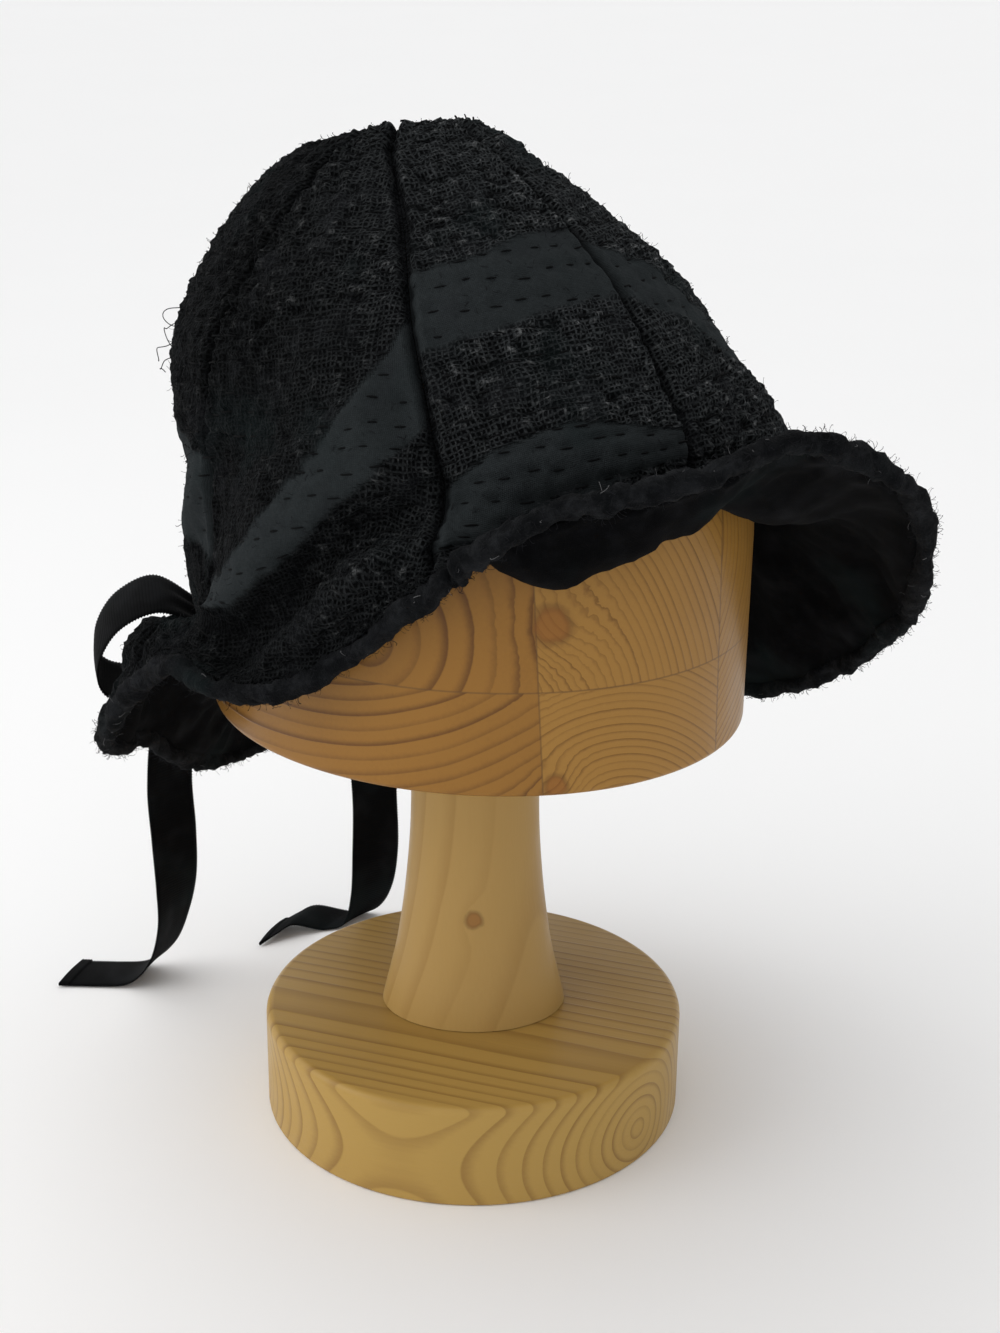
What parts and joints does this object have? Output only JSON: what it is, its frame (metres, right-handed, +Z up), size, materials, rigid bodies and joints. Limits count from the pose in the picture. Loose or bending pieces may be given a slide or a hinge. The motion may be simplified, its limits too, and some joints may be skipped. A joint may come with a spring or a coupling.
{
  "type": "poke bonnet on a hat stand",
  "caption": "Soft black poke bonnet of seamed gauze gores with a drooping frayed brim, tied at the nape with a ribbon bow, on a turned pine hat stand.",
  "frame": {"origin": "centre of the base's underside, on the surface that the stand rests on", "axes": "+Z up along the stand's post; the bonnet's front faces -Y; the wearer's left is +X"},
  "size_m": [0.2444, 0.3343, 0.3421],
  "materials": {
    "pine": "satin clear varnish over turned, laminated pine",
    "quilted_gauze": "matte black crinkled cotton gauze with smoother stitched bands",
    "lining_cotton": "matte black plain cotton, wrinkled towards the brim's edge",
    "frayed_edge": "matte black raw edge rolled over, with loose thread ends",
    "grosgrain": "black grosgrain ribbon, fine ribs across it, slight sheen"
  },
  "bodies": {
    "root": {"gore_front_right": "quilted_gauze", "gore_side_right": "quilted_gauze", "gore_back_right": "quilted_gauze", "gore_back_left": "quilted_gauze", "gore_side_left": "quilted_gauze", "gore_front_left": "quilted_gauze", "lining": "lining_cotton", "brim_edge": "frayed_edge", "knot": "grosgrain", "loop_right": "grosgrain", "loop_left": "grosgrain", "tail_right": "grosgrain", "tail_left": "grosgrain", "stand_base": "pine", "stand_post": "pine", "stand_block": "pine"}
  },
  "joints": []
}
